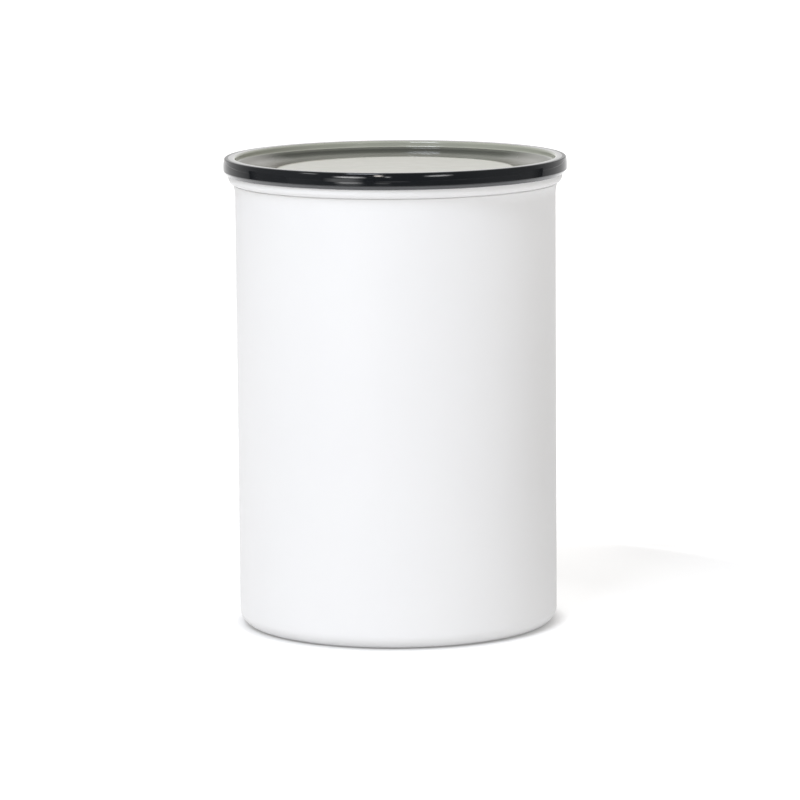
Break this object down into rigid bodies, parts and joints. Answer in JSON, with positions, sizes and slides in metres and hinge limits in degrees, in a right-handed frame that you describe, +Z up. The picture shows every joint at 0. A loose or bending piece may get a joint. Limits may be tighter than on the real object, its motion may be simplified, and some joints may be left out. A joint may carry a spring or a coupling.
{
  "type": "coffee canister with valve",
  "caption": "Straight round steel canister with a dished smoke press-on lid and a sliding inner lid whose folding handle opens a spring valve.",
  "frame": {"origin": "centre of the base on the surface that the canister stands on", "axes": "+Z up along the canister; the front that the picture shows faces -Y; +X is to its right"},
  "size_m": [0.1286, 0.1286, 0.1763],
  "materials": {
    "coated_steel": "matt white powder coat",
    "smoke_plastic": "dark smoke, polished",
    "black_silicone": "black silicone",
    "clear_silicone": "milky silicone",
    "grey_silicone": "grey silicone",
    "dark_plastic": "fine texture",
    "mid_plastic": "satin",
    "bright_steel": "brushed stainless"
  },
  "bodies": {
    "canister": {"canister_shell": "coated_steel"},
    "outer_lid": {"outer_lid": "smoke_plastic", "lid_gasket": "black_silicone"},
    "plunger": {"plunger_plate": "dark_plastic", "plunger_wiper": "clear_silicone", "wiper_retainer": "dark_plastic", "retainer_screws": "bright_steel", "valve_seat": "grey_silicone", "grounds_screen": "bright_steel", "screen_clip": "bright_steel", "valve_cover": "mid_plastic", "cover_screws": "bright_steel", "valve_spring": "bright_steel", "pivot_pin_left": "bright_steel", "pivot_pin_right": "bright_steel", "pivot_clips": "bright_steel"},
    "valve": {"valve_plug": "mid_plastic", "valve_seal": "clear_silicone", "lifter_bar": "bright_steel", "lifter_nut": "bright_steel"},
    "handle": {"carry_handle": "mid_plastic"}
  },
  "joints": [
    {"name": "outer_lid_lift", "type": "slide", "parent": "canister", "child": "outer_lid", "axis": [0, 0, 1], "range_m": [0, 0.06]},
    {"name": "plunger_slide", "type": "slide", "parent": "canister", "child": "plunger", "axis": [0, 0, 1], "range_m": [-0.098, 0.0045]},
    {"name": "handle_fold", "type": "hinge", "parent": "plunger", "child": "handle", "pos_m": [0, 0, 0.1217], "axis": [1, 0, 0], "range_deg": [0, 90]},
    {"name": "valve_lift", "type": "slide", "parent": "plunger", "child": "valve", "axis": [0, 0, 1], "range_m": [0, 0.0025], "stiffness_N_per_m": 200, "springref_m": -0.002, "deforming": ["valve_spring"]}
  ],
  "couplings": [
    {"joint": "handle_fold", "follows": "valve_lift", "rad_per_m": 628.32}
  ]
}
